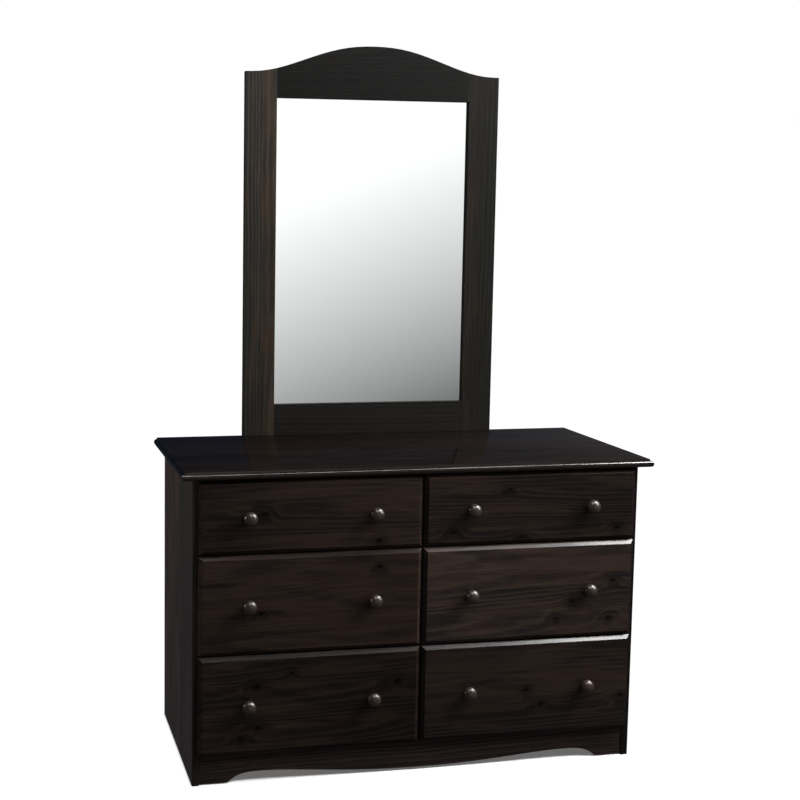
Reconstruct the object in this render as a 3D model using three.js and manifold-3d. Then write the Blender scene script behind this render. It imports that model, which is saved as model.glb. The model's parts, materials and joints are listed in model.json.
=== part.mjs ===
// A pine dresser with six drawers in two columns, and an arched mirror standing on its top.
// Millimetres. X runs across the dresser, Y from its front to its back and Z up from the floor.
// Every piece is drawn with the front edges of the case at Y = 0; the last lines centre the footprint.
import * as THREE from "three";
import { mergeVertices } from "three/addons/utils/BufferGeometryUtils.js";
import Module from "manifold-3d";

const wasm = await Module();
wasm.setup();

// Case
const case_width = 1160;
const case_depth = 500;
const side_thickness = 18;
const partition_thickness = 18;
const housing_depth = 6;

// Back panel, let into the side panels from behind
const back_thickness = 6;
const back_side_lap = 10;

// Plinth
const plinth_height = 90;
const plinth_thickness = 18;
const plinth_setback = 3;
const plinth_floor_gap = 2;
const plinth_foot_width = 72;
const plinth_arch_span = 85;
const plinth_peak_rise = 25;
const plinth_centre_rise = 5;
const plinth_foot_curve_share = 0.25;
const plinth_peak_curve_share = 0.55;
const plinth_centre_curve_share = 0.5;

// Web frames: a front rail, a rear rail and four bars that the drawers run on or under
const frame_thickness = 18;
const front_rail_width = 70;
const rear_rail_width = 60;
const side_bar_width = 45;
const centre_bar_width = 40;

// Drawer fronts, bevelled all round and lapped over the case
const front_thickness = 19;
const front_bevel_width = 10;
const front_bevel_depth = 9;
const front_side_lap = 6;
const front_bottom_lap = 9;
const front_column_gap = 4;
const front_row_gap = 3;
const front_top_gap = 4;
const bottom_front_height = 249;
const middle_front_height = 249;
const top_front_height = 183;

// Drawer boxes
const box_side_thickness = 12;
const box_back_thickness = 12;
const box_side_clearance = 2.5;
const box_top_clearance = 12;
const box_rear_clearance = 34;
const box_back_inset = 6;
const box_housing_depth = 6;
const box_bottom_thickness = 5;
const box_bottom_height = 10;
const box_groove_clearance = 0.5;

// Knobs, turned in one piece with the tenon that is glued into the front
const knob_spacing = 318;
const knob_diameter = 35;
const knob_projection = 30;
const knob_widest_height = 17;
const knob_base_diameter = 22;
const knob_neck_diameter = 16;
const knob_neck_height = 6;
const knob_roundness_share = 0.55;
const knob_tenon_diameter = 10;
const knob_tenon_clearance = 0.3;
const knob_sides = 20;
const knob_curve_steps = 4;

// Top, with a stepped round nose on the front and both ends
const top_thickness = 20;
const top_side_overhang = 30;
const top_front_overhang = 28;
const nose_step_inset = 8;
const nose_step_drop = 4;
const nose_tip_height = 8;
const nose_under_inset = 5;
const nose_steps = 4;

// Mirror frame, glass and backing
const mirror_width = 726;
const mirror_thickness = 20;
const stile_width = 88;
const mirror_bottom_rail_height = 88;
const mirror_opening_height = 844;
const mirror_shoulder_height = 70;
const mirror_crown_rise = 75;
const mirror_arch_inset = 15;
const mirror_arch_fullness_share = 0.15;
const mirror_lip_thickness = 10;
const mirror_rebate_width = 8;
const glass_thickness = 4;
const glass_side_clearance = 1;
const rail_tenon_length = 40;
const rail_tenon_thickness = 8;
const rail_tenon_shoulder = 16;
const rail_tenon_clearance = 0.25;
const head_curve_steps = 28;

// Two uprights that carry the mirror, screwed behind the case and the mirror frame
const support_width = 60;
const support_thickness = 18;
const support_edge_inset = 13;
const support_case_lap = 420;
const support_mirror_lap = 860;

// How far a cutter runs past the face it leaves
const cut_overrun = 5;
const curve_steps = 10;

// Heights, from the floor up
const runner_level_bottom = plinth_height;
const bottom_front_low = plinth_height - front_bottom_lap;
const bottom_front_high = bottom_front_low + bottom_front_height;
const middle_front_low = bottom_front_high + front_row_gap;
const middle_front_high = middle_front_low + middle_front_height;
const top_front_low = middle_front_high + front_row_gap;
const top_front_high = top_front_low + top_front_height;
const case_height = top_front_high + front_top_gap;
const lower_frame_low = (bottom_front_high + middle_front_low - frame_thickness) / 2;
const runner_level_middle = lower_frame_low + frame_thickness;
const upper_frame_low = (middle_front_high + top_front_low - frame_thickness) / 2;
const runner_level_top = upper_frame_low + frame_thickness;
const top_frame_low = case_height - frame_thickness;
const bottom_frame_low = plinth_height - frame_thickness;
const top_surface = case_height + top_thickness;

// Places across and through the case
const case_half = case_width / 2;
const inside_half = case_half - side_thickness;
const housing_half = inside_half + housing_depth;
const partition_half = partition_thickness / 2;
const back_half = inside_half + back_side_lap;
const back_face = case_depth - back_thickness;
const plinth_back = plinth_setback + plinth_thickness;
const front_half_from_centre = inside_half + front_side_lap;
const front_width = front_half_from_centre - front_column_gap / 2;
const front_centre = (front_half_from_centre + front_column_gap / 2) / 2;
const bay_centre = (inside_half + partition_half) / 2;
const box_half = (inside_half - partition_half) / 2 - box_side_clearance;
const box_inner_half = box_half - box_side_thickness;
const box_rear = back_face - box_rear_clearance;

// A mesh's vertices in one welded list, ready to be joined or cut.
function solid(geometry) {
  const plain = geometry.clone();
  plain.deleteAttribute("normal");
  plain.deleteAttribute("uv");
  const welded = mergeVertices(plain);
  const numProp = welded.getAttribute("position").itemSize;
  const vertProperties = welded.getAttribute("position").array;
  const triVerts = new Uint32Array(welded.index.array);
  return new wasm.Manifold(new wasm.Mesh({ numProp, vertProperties, triVerts }));
}

function geometryOf(made) {
  const mesh = made.getMesh();
  const indexed = new THREE.BufferGeometry();
  indexed.setAttribute("position", new THREE.BufferAttribute(mesh.vertProperties, mesh.numProp));
  indexed.setIndex(new THREE.BufferAttribute(mesh.triVerts, 1));
  const geometry = indexed.toNonIndexed();
  geometry.computeVertexNormals();
  return geometry;
}

function cut(geometry, cutters) {
  const made = cutters.reduce((left, cutter) => left.subtract(solid(cutter)), solid(geometry));
  return geometryOf(made);
}

function join(geometry, others) {
  const made = others.reduce((whole, other) => whole.add(solid(other)), solid(geometry));
  return geometryOf(made);
}

function shared(first, second) {
  return geometryOf(solid(first).intersect(solid(second)));
}

// A square-edged board between two opposite corners.
function board(low, high) {
  const geometry = new THREE.BoxGeometry();
  const position = geometry.getAttribute("position");
  for (let i = 0; i < position.count; i++) {
    position.setX(i, position.getX(i) < 0 ? low[0] : high[0]);
    position.setY(i, position.getY(i) < 0 ? low[1] : high[1]);
    position.setZ(i, position.getZ(i) < 0 ? low[2] : high[2]);
  }
  return geometry;
}

// An outline given thickness, from low to high along its third axis.
function slab(shape, low, high) {
  const options = { depth: high - low, bevelEnabled: false, curveSegments: curve_steps };
  const geometry = new THREE.ExtrudeGeometry(shape, options);
  const position = geometry.getAttribute("position");
  for (let i = 0; i < position.count; i++) {
    position.setZ(i, position.getZ(i) > 0 ? high : low);
  }
  return geometry;
}

const along_x = new THREE.Vector3(1, 0, 0);
const along_y = new THREE.Vector3(0, 1, 0);
const along_z = new THREE.Vector3(0, 0, 1);

// A slab whose outline is drawn in Y and Z, from left to right.
function slabAcross(shape, left, right) {
  const turn = new THREE.Matrix4().makeBasis(along_y, along_z, along_x);
  return slab(shape, left, right).applyMatrix4(turn);
}

// A slab whose outline is drawn in X and Z, from front to back.
function slabFacing(shape, front, back) {
  const turn = new THREE.Matrix4().makeBasis(along_x, along_z, along_y.clone().negate());
  return slab(shape, -back, -front).applyMatrix4(turn);
}

function outline(points) {
  return new THREE.Shape(points.map(([across, up]) => new THREE.Vector2(across, up)));
}

function mirrored(points) {
  return points.map(([across, up]) => [-across, up]).reverse();
}

// Two distances from a centre line, on its left (-1) or its right (1), as X from left to right.
function leftToRight(direction, near, far) {
  return direction > 0 ? [near, far] : [-far, -near];
}

// Dark stain and satin lacquer over pine
function stainedPine() {
  return new THREE.MeshStandardMaterial({ color: 0x2b2321, roughness: 0.42, metalness: 0 });
}

function stainedPineTop() {
  return new THREE.MeshStandardMaterial({ color: 0x25221f, roughness: 0.32, metalness: 0 });
}

function stainedKnob() {
  return new THREE.MeshStandardMaterial({ color: 0x352a28, roughness: 0.2, metalness: 0 });
}

function barePine() {
  return new THREE.MeshStandardMaterial({ color: 0xc9a574, roughness: 0.7, metalness: 0 });
}

function plywood() {
  return new THREE.MeshStandardMaterial({ color: 0xb99468, roughness: 0.75, metalness: 0 });
}

function hardboard() {
  return new THREE.MeshStandardMaterial({ color: 0x5d4330, roughness: 0.8, metalness: 0 });
}

function silveredGlass() {
  return new THREE.MeshStandardMaterial({ color: 0xe6eaea, roughness: 0.03, metalness: 1 });
}

function piece(name, geometry, material) {
  const mesh = new THREE.Mesh(geometry, material);
  mesh.name = name;
  return mesh;
}

// The nose seen from its end, from the flat of the top down to the underside: inset from the tip, height.
function noseProfile() {
  const step_height = top_thickness - nose_step_drop;
  const points = [[nose_step_inset, top_thickness]];
  for (let i = 0; i <= nose_steps; i++) {
    const turn = (i / nose_steps) * (Math.PI / 2);
    const inset = nose_step_inset * (1 - Math.sin(turn));
    points.push([inset, nose_tip_height + (step_height - nose_tip_height) * Math.cos(turn)]);
  }
  for (let i = 1; i <= nose_steps; i++) {
    const turn = (i / nose_steps) * (Math.PI / 2);
    const inset = nose_under_inset * (1 - Math.cos(turn));
    points.push([inset, nose_tip_height * (1 - Math.sin(turn))]);
  }
  return points;
}

function topPanel() {
  const half = case_half + top_side_overhang;
  const nose = noseProfile();
  const front_edge = nose.map(([inset, up]) => [inset - top_front_overhang, case_height + up]);
  const from_end = outline([...front_edge, [case_depth, case_height], [case_depth, top_surface]]);
  const right_edge = nose.map(([inset, up]) => [half - inset, case_height + up]);
  const from_front = outline([...right_edge, ...mirrored(right_edge)]);
  const whole_front = -top_front_overhang - cut_overrun;
  const whole_back = case_depth + cut_overrun;
  const lengthwise = slabAcross(from_end, -half - cut_overrun, half + cut_overrun);
  return shared(lengthwise, slabFacing(from_front, whole_front, whole_back));
}

// Left side when the direction is -1, right side when it is 1.
function sidePanel(direction) {
  const span = (near, far, front, back, low, high) => {
    const [left, right] = leftToRight(direction, near, far);
    return board([left, front, low], [right, back, high]);
  };
  const blank = span(inside_half, case_half, 0, case_depth, 0, case_height);
  const past_face = inside_half - cut_overrun;
  const behind = case_depth + cut_overrun;
  const above = case_height + cut_overrun;
  const housing = (low, high, front) => span(past_face, housing_half, front, behind, low, high);
  return cut(blank, [
    housing(bottom_frame_low, runner_level_bottom, plinth_back),
    housing(lower_frame_low, runner_level_middle, -cut_overrun),
    housing(upper_frame_low, runner_level_top, -cut_overrun),
    housing(top_frame_low, above, -cut_overrun),
    span(past_face, back_half, back_face, behind, bottom_frame_low, above),
  ]);
}

// The upright between the two bays, notched for the rails of the two middle frames.
function centrePartition() {
  const rear_rail = back_face - rear_rail_width;
  const panel = outline([
    [0, runner_level_bottom],
    [back_face, runner_level_bottom],
    [back_face, lower_frame_low],
    [rear_rail, lower_frame_low],
    [rear_rail, runner_level_middle],
    [back_face, runner_level_middle],
    [back_face, upper_frame_low],
    [rear_rail, upper_frame_low],
    [rear_rail, runner_level_top],
    [back_face, runner_level_top],
    [back_face, top_frame_low],
    [0, top_frame_low],
    [0, runner_level_top],
    [front_rail_width, runner_level_top],
    [front_rail_width, upper_frame_low],
    [0, upper_frame_low],
    [0, runner_level_middle],
    [front_rail_width, runner_level_middle],
    [front_rail_width, lower_frame_low],
    [0, lower_frame_low],
  ]);
  return slabAcross(panel, -partition_half, partition_half);
}

// One glued frame: an opening in each bay, and a slot where the partition passes through.
function webFrame(front, low, high, partition_passes) {
  const opening_front = front + front_rail_width;
  const opening_back = back_face - rear_rail_width;
  const near_partition = partition_half + centre_bar_width;
  const near_side = inside_half - side_bar_width;
  const hole = (left, right) => {
    return board([left, opening_front, low - cut_overrun], [right, opening_back, high + cut_overrun]);
  };
  const holes = [hole(-near_side, -near_partition), hole(near_partition, near_side)];
  if (partition_passes) {
    holes.push(hole(-partition_half, partition_half));
  }
  return cut(board([-housing_half, front, low], [housing_half, back_face, high]), holes);
}

// A board between the side panels, its lower edge cut to a long double arch between two feet.
function plinth() {
  const foot = inside_half - plinth_foot_width;
  const peak = foot - plinth_arch_span;
  const low = plinth_floor_gap;
  const peak_height = low + plinth_peak_rise;
  const centre_height = low + plinth_centre_rise;
  const spring_height = peak_height - plinth_centre_rise;
  const from_foot = foot - plinth_arch_span * plinth_foot_curve_share;
  const before_peak = peak + plinth_arch_span * plinth_peak_curve_share;
  const past_peak = peak - peak * plinth_foot_curve_share;
  const by_centre = peak * plinth_centre_curve_share;
  const face = new THREE.Shape();
  face.moveTo(-inside_half, low);
  face.lineTo(-foot, low);
  face.bezierCurveTo(-from_foot, spring_height, -before_peak, peak_height, -peak, peak_height);
  face.bezierCurveTo(-past_peak, peak_height, -by_centre, centre_height, 0, centre_height);
  face.bezierCurveTo(by_centre, centre_height, past_peak, peak_height, peak, peak_height);
  face.bezierCurveTo(before_peak, peak_height, from_foot, spring_height, foot, low);
  face.lineTo(inside_half, low);
  face.lineTo(inside_half, plinth_height);
  face.lineTo(-inside_half, plinth_height);
  return slabFacing(face, plinth_setback, plinth_back);
}

function backPanel() {
  return board([-back_half, back_face, bottom_frame_low], [back_half, case_depth, case_height]);
}

// A drawer front, drawn about the middle of its bay: bevelled on its face, housed and grooved behind.
function drawerFront(middle, low, high, box_height) {
  const left = middle - front_width / 2;
  const right = middle + front_width / 2;
  const square_face = front_bevel_depth - front_thickness;
  const edge = (from, to) => outline([
    [0, from],
    [0, to],
    [square_face, to],
    [-front_thickness, to - front_bevel_width],
    [-front_thickness, from + front_bevel_width],
    [square_face, from],
  ]);
  const lengthwise = slabAcross(edge(low, high), left, right);
  const in_plan = outline([
    [left, 0],
    [left, square_face],
    [left + front_bevel_width, -front_thickness],
    [right - front_bevel_width, -front_thickness],
    [right, square_face],
    [right, 0],
  ]);
  const bevelled = shared(lengthwise, slab(in_plan, low, high));
  const groove_high = box_bottom_height + box_bottom_thickness + box_groove_clearance;
  const groove_half = box_inner_half + box_housing_depth;
  const bore_radius = knob_tenon_diameter / 2 + knob_tenon_clearance;
  const bore = (side) => {
    const drill_length = front_thickness + 2 * cut_overrun;
    const drill = new THREE.CylinderGeometry(bore_radius, bore_radius, drill_length, knob_sides);
    return drill.translate(middle + (side * knob_spacing) / 2, -front_thickness / 2, (low + high) / 2);
  };
  return cut(bevelled, [
    board([-box_half, -box_housing_depth, 0], [-box_inner_half, cut_overrun, box_height]),
    board([box_inner_half, -box_housing_depth, 0], [box_half, cut_overrun, box_height]),
    board([-groove_half, -box_housing_depth, box_bottom_height], [groove_half, cut_overrun, groove_high]),
    bore(-1),
    bore(1),
  ]);
}

// A drawer side, grooved for the bottom and housed for the back.
function drawerSide(direction, box_height) {
  const [left, right] = leftToRight(direction, box_inner_half, box_half);
  const housing_far = box_inner_half + box_housing_depth;
  const [cut_left, cut_right] = leftToRight(direction, box_inner_half - cut_overrun, housing_far);
  const groove_high = box_bottom_height + box_bottom_thickness + box_groove_clearance;
  const back_rear = box_rear - box_back_inset;
  const back_front = back_rear - box_back_thickness;
  const above = box_height + cut_overrun;
  const past_front = -box_housing_depth - cut_overrun;
  const past_rear = box_rear + cut_overrun;
  return cut(board([left, -box_housing_depth, 0], [right, box_rear, box_height]), [
    board([cut_left, past_front, box_bottom_height], [cut_right, past_rear, groove_high]),
    board([cut_left, back_front, groove_high], [cut_right, back_rear, above]),
  ]);
}

function drawerBack(box_height) {
  const half = box_inner_half + box_housing_depth;
  const low = box_bottom_height + box_bottom_thickness + box_groove_clearance;
  const rear = box_rear - box_back_inset;
  return board([-half, rear - box_back_thickness, low], [half, rear, box_height]);
}

function drawerBottom() {
  const half = box_inner_half + box_housing_depth - box_groove_clearance;
  const high = box_bottom_height + box_bottom_thickness;
  const front = box_groove_clearance - box_housing_depth;
  return board([-half, front, box_bottom_height], [half, box_rear, high]);
}

// A turned knob along its own Y axis, its shoulder at zero and its tenon below that.
function knob() {
  const tenon = knob_tenon_diameter / 2;
  const base = knob_base_diameter / 2;
  const neck = knob_neck_diameter / 2;
  const widest = knob_diameter / 2;
  const profile = new THREE.Path();
  profile.moveTo(0, -front_thickness);
  profile.lineTo(tenon, -front_thickness);
  profile.lineTo(tenon, 0);
  profile.lineTo(base, 0);
  const under_reach = neck + knob_roundness_share * (widest - neck);
  const under_rise = knob_widest_height - knob_roundness_share * (knob_widest_height - knob_neck_height);
  const crown_rise = knob_widest_height + knob_roundness_share * (knob_projection - knob_widest_height);
  const crown_reach = knob_roundness_share * widest;
  profile.quadraticCurveTo(neck, 0, neck, knob_neck_height);
  profile.bezierCurveTo(under_reach, knob_neck_height, widest, under_rise, widest, knob_widest_height);
  profile.bezierCurveTo(widest, crown_rise, crown_reach, knob_projection, 0, knob_projection);
  return new THREE.LatheGeometry(profile.getPoints(knob_curve_steps), knob_sides);
}

// Height of the mirror frame's upper edge above the top of the opening, at a distance from its centre line:
// a cosine from shoulder to shoulder, a little fuller beside the crown.
function headHeight(across) {
  const arch_half = mirror_width / 2 - mirror_arch_inset;
  const reach_share = Math.min(Math.abs(across) / arch_half, 1);
  const turn = Math.PI * reach_share ** (1 + mirror_arch_fullness_share);
  return mirror_shoulder_height + (mirror_crown_rise * (1 + Math.cos(turn))) / 2;
}

function headPoints(from, to) {
  const arch_half = mirror_width / 2 - mirror_arch_inset;
  const points = [];
  for (let i = 0; i <= head_curve_steps; i++) {
    const across = -arch_half + (2 * arch_half * i) / head_curve_steps;
    if (across > from && across < to) {
      points.push(across);
    }
  }
  const opening_high = mirror_bottom_rail_height + mirror_opening_height;
  return [from, ...points, to].map((across) => [across, opening_high + headHeight(across)]);
}

// The pocket behind the lip that the glass and its backing lie in.
function mirrorRebate() {
  const half = mirror_width / 2 - stile_width + mirror_rebate_width;
  const low = mirror_bottom_rail_height - mirror_rebate_width;
  const high = mirror_bottom_rail_height + mirror_opening_height + mirror_rebate_width;
  const lip_back = case_depth - mirror_thickness + mirror_lip_thickness;
  return board([-half, lip_back, low], [half, case_depth + cut_overrun, high]);
}

// A rail's tenon, from the stile's inner edge outwards, or its mortise when it is given a clearance.
function railTenon(direction, low, high, clearance) {
  const inner = mirror_width / 2 - stile_width;
  const far = inner + rail_tenon_length + clearance;
  const [left, right] = leftToRight(direction, inner - cut_overrun, far);
  const middle = case_depth - mirror_thickness / 2;
  const half = rail_tenon_thickness / 2 + clearance;
  return board([left, middle - half, low - clearance], [right, middle + half, high + clearance]);
}

function bottomRailTenon(direction, clearance) {
  const low = rail_tenon_shoulder;
  const high = mirror_bottom_rail_height - rail_tenon_shoulder;
  return railTenon(direction, low, high, clearance);
}

function topRailTenon(direction, clearance) {
  const opening_high = mirror_bottom_rail_height + mirror_opening_height;
  const low = opening_high + rail_tenon_shoulder;
  const high = opening_high + mirror_shoulder_height - rail_tenon_shoulder;
  return railTenon(direction, low, high, clearance);
}

function mirrorStile(direction) {
  const outer = mirror_width / 2;
  const inner = outer - stile_width;
  const opening_high = mirror_bottom_rail_height + mirror_opening_height;
  const head = headPoints(inner, outer);
  const points = [[inner, 0], [outer, 0], ...head.reverse()];
  const face = outline(direction > 0 ? points : mirrored(points));
  const blank = slabFacing(face, case_depth - mirror_thickness, case_depth);
  return cut(blank, [
    mirrorRebate(),
    bottomRailTenon(direction, rail_tenon_clearance),
    topRailTenon(direction, rail_tenon_clearance),
  ]);
}

function mirrorTopRail() {
  const inner = mirror_width / 2 - stile_width;
  const opening_high = mirror_bottom_rail_height + mirror_opening_height;
  const head = headPoints(-inner, inner);
  const face = outline([[-inner, opening_high], [inner, opening_high], ...head.reverse()]);
  const blank = slabFacing(face, case_depth - mirror_thickness, case_depth);
  return cut(join(blank, [topRailTenon(-1, 0), topRailTenon(1, 0)]), [mirrorRebate()]);
}

function mirrorBottomRail() {
  const inner = mirror_width / 2 - stile_width;
  const front = case_depth - mirror_thickness;
  const blank = board([-inner, front, 0], [inner, case_depth, mirror_bottom_rail_height]);
  return cut(join(blank, [bottomRailTenon(-1, 0), bottomRailTenon(1, 0)]), [mirrorRebate()]);
}

// The glass or the backing, standing on the lower edge of the rebate.
function mirrorSheet(front, back) {
  const half = mirror_width / 2 - stile_width + mirror_rebate_width - glass_side_clearance;
  const low = mirror_bottom_rail_height - mirror_rebate_width;
  const opening_high = mirror_bottom_rail_height + mirror_opening_height;
  const high = opening_high + mirror_rebate_width - glass_side_clearance;
  return board([-half, front, low], [half, back, high]);
}

function mirrorSupport(direction) {
  const outer = mirror_width / 2 - support_edge_inset;
  const [left, right] = leftToRight(direction, outer - support_width, outer);
  const back = case_depth + support_thickness;
  return board([left, case_depth, -support_case_lap], [right, back, support_mirror_lap]);
}

function caseGroup() {
  const group = new THREE.Group();
  const bottom_frame = webFrame(plinth_back, bottom_frame_low, runner_level_bottom, false);
  const lower_frame = webFrame(0, lower_frame_low, runner_level_middle, true);
  const upper_frame = webFrame(0, upper_frame_low, runner_level_top, true);
  const top_frame = webFrame(0, top_frame_low, case_height, false);
  group.add(
    piece("top_panel", topPanel(), stainedPineTop()),
    piece("side_panel_left", sidePanel(-1), stainedPine()),
    piece("side_panel_right", sidePanel(1), stainedPine()),
    piece("centre_partition", centrePartition(), barePine()),
    piece("web_frame_bottom", bottom_frame, barePine()),
    piece("web_frame_lower", lower_frame, barePine()),
    piece("web_frame_upper", upper_frame, barePine()),
    piece("web_frame_top", top_frame, barePine()),
    piece("plinth", plinth(), stainedPine()),
    piece("back_panel", backPanel(), plywood()),
  );
  return group;
}

// One drawer, standing on its runner level in the left bay (-1) or the right bay (1).
function drawerGroup(name, bay, runner_level, front_low, front_high, opening_high) {
  const group = new THREE.Group();
  const box_height = opening_high - runner_level - box_top_clearance;
  const front_offset = bay * (front_centre - bay_centre);
  const low = front_low - runner_level;
  const high = front_high - runner_level;
  group.add(
    piece(name + "_front", drawerFront(front_offset, low, high, box_height), stainedPine()),
    piece(name + "_side_left", drawerSide(-1, box_height), barePine()),
    piece(name + "_side_right", drawerSide(1, box_height), barePine()),
    piece(name + "_back", drawerBack(box_height), barePine()),
    piece(name + "_bottom", drawerBottom(), plywood()),
  );
  for (const [side, label] of [[-1, "left"], [1, "right"]]) {
    const turned = piece(name + "_knob_" + label, knob(), stainedKnob());
    turned.position.set(front_offset + (side * knob_spacing) / 2, -front_thickness, (low + high) / 2);
    turned.rotation.x = Math.PI;
    group.add(turned);
  }
  group.position.set(bay * bay_centre, 0, runner_level);
  return group;
}

// Each row: its name, the level that its boxes run on, its fronts' edges and the frame above.
function drawers() {
  const group = new THREE.Group();
  const rows = [
    ["drawer_top", runner_level_top, top_front_low, top_front_high, top_frame_low],
    ["drawer_middle", runner_level_middle, middle_front_low, middle_front_high, upper_frame_low],
    ["drawer_bottom", runner_level_bottom, bottom_front_low, bottom_front_high, lower_frame_low],
  ];
  for (const [bay, side] of [[-1, "left"], [1, "right"]]) {
    for (const [row, ...levels] of rows) {
      group.add(drawerGroup(row + "_" + side, bay, ...levels));
    }
  }
  return group;
}

function mirrorGroup() {
  const group = new THREE.Group();
  const lip_back = case_depth - mirror_thickness + mirror_lip_thickness;
  const glass_back = lip_back + glass_thickness;
  group.add(
    piece("mirror_stile_left", mirrorStile(-1), stainedPine()),
    piece("mirror_stile_right", mirrorStile(1), stainedPine()),
    piece("mirror_top_rail", mirrorTopRail(), stainedPine()),
    piece("mirror_bottom_rail", mirrorBottomRail(), stainedPine()),
    piece("mirror_glass", mirrorSheet(lip_back, glass_back), silveredGlass()),
    piece("mirror_backing_board", mirrorSheet(glass_back, case_depth), hardboard()),
    piece("mirror_support_left", mirrorSupport(-1), stainedPine()),
    piece("mirror_support_right", mirrorSupport(1), stainedPine()),
  );
  group.position.z = top_surface;
  return group;
}

// The origin is the middle of the footprint, between the knobs' faces and the supports' backs.
const dresser = new THREE.Group();
dresser.add(caseGroup(), drawers(), mirrorGroup());
dresser.position.y = (front_thickness + knob_projection - case_depth - support_thickness) / 2;

export default dresser;
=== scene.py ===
import json
import math

import bmesh
import bpy
from mathutils import Matrix, Vector

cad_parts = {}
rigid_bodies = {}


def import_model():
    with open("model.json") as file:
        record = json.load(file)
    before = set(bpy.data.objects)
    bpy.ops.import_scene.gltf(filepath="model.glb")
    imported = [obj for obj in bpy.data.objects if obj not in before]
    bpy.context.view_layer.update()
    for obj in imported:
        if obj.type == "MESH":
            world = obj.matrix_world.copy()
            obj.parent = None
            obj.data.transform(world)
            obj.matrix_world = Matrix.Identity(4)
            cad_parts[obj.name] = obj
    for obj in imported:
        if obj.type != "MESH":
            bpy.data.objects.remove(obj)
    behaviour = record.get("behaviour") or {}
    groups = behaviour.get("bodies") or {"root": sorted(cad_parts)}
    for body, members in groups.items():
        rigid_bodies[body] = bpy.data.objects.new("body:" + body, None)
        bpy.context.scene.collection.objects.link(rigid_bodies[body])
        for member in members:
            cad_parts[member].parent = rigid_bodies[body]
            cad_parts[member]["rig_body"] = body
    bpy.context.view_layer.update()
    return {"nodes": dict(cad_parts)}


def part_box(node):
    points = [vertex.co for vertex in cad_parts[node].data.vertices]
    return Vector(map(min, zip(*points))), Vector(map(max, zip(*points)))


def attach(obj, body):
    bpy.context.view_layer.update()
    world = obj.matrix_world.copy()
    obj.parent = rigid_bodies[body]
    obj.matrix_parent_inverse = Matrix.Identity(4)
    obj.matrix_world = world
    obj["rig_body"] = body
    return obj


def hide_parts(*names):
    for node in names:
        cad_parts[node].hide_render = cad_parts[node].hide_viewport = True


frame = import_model()
scene = bpy.context.scene

# Directions: X runs across the dresser, Y from its front to its back, Z up
ACROSS, DEEP, UP = (1, 0, 0), (0, 1, 0), (0, 0, 1)
FRAME_PIXELS = 800
# Faces that turn from each other by more than this meet in an edge, and by less in a curve: on a
# board, on the top's nose and on a knob
ARRIS, STEP, TURNED_EDGE = math.radians(30), math.radians(35), math.radians(50)


# Camera, where the photograph was taken from
def camera_at(place, turn, tilt, roll, focal_pixels, shift):
    """A camera turned towards +X, tilted down and rolled, its focal length counted in pixels of the
    frame."""
    lens = bpy.data.cameras.new("camera")
    lens.sensor_width = 36
    lens.lens = focal_pixels / FRAME_PIXELS * lens.sensor_width
    lens.shift_x, lens.shift_y = shift
    ahead = Vector((
        math.sin(turn) * math.cos(tilt), math.cos(turn) * math.cos(tilt), -math.sin(tilt)))
    level = Vector((math.cos(turn), -math.sin(turn), 0))
    above = level.cross(ahead)
    right = level * math.cos(roll) + above * math.sin(roll)
    top = above * math.cos(roll) - level * math.sin(roll)
    holder = bpy.data.objects.new("camera", lens)
    facing = Matrix((right, top, -ahead)).transposed().to_4x4()
    holder.matrix_world = Matrix.Translation(place) @ facing
    scene.collection.objects.link(holder)
    scene.camera = holder


camera_at(
    place=(-1.08403, -3.40747, 1.40792),
    turn=math.radians(11.1021), tilt=math.radians(6.1621), roll=math.radians(0.4218),
    focal_pixels=1352.69, shift=(0.1975, -0.0498),
)
scene.view_settings.view_transform = "Standard"


# Nodes and colours
def add(tree, kind, inputs=(), out=0, **settings):
    """Adds one node and returns one of its outputs, or the node itself where it has none. Inputs
    are values or other nodes' outputs, by place or by name. A mix node takes its share at place 0,
    and what it mixes at 2 and 3 for numbers or 6 and 7 for colours."""
    made = tree.nodes.new(kind)
    for name, value in settings.items():
        setattr(made, name, value)
    for key, value in inputs.items() if isinstance(inputs, dict) else enumerate(inputs):
        if isinstance(value, bpy.types.NodeSocket):
            tree.links.new(value, made.inputs[key])
        elif value is not None:
            made.inputs[key].default_value = value
    return made.outputs[out] if len(made.outputs) else made


def linear(hex_colour):
    """An sRGB hex value as the linear colour that a shader takes."""
    channels = [int(hex_colour[i:i + 2], 16) / 255 for i in (1, 3, 5)]
    return [c / 12.92 if c <= 0.04045 else ((c + 0.055) / 1.055) ** 2.4 for c in channels] + [1]


def new_material(name):
    made = bpy.data.materials.new(name)
    made.use_nodes = True
    made.node_tree.nodes.clear()
    return made, made.node_tree


# Pine: how its boards were sawn and glued
def grain_place(tree, along, across, middle):
    """A point's place in millimetres from the middle of a piece: along the grain, across it and
    through the board."""
    turn = Matrix((along, across, Vector(along).cross(across)))
    return add(tree, "ShaderNodeMapping", {
        "Vector": add(tree, "ShaderNodeTexCoord", out="Object"),
        "Location": -(turn @ Vector(middle)) * 1000,
        "Rotation": turn.to_euler(),
        "Scale": (1000, 1000, 1000),
    })


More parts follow.
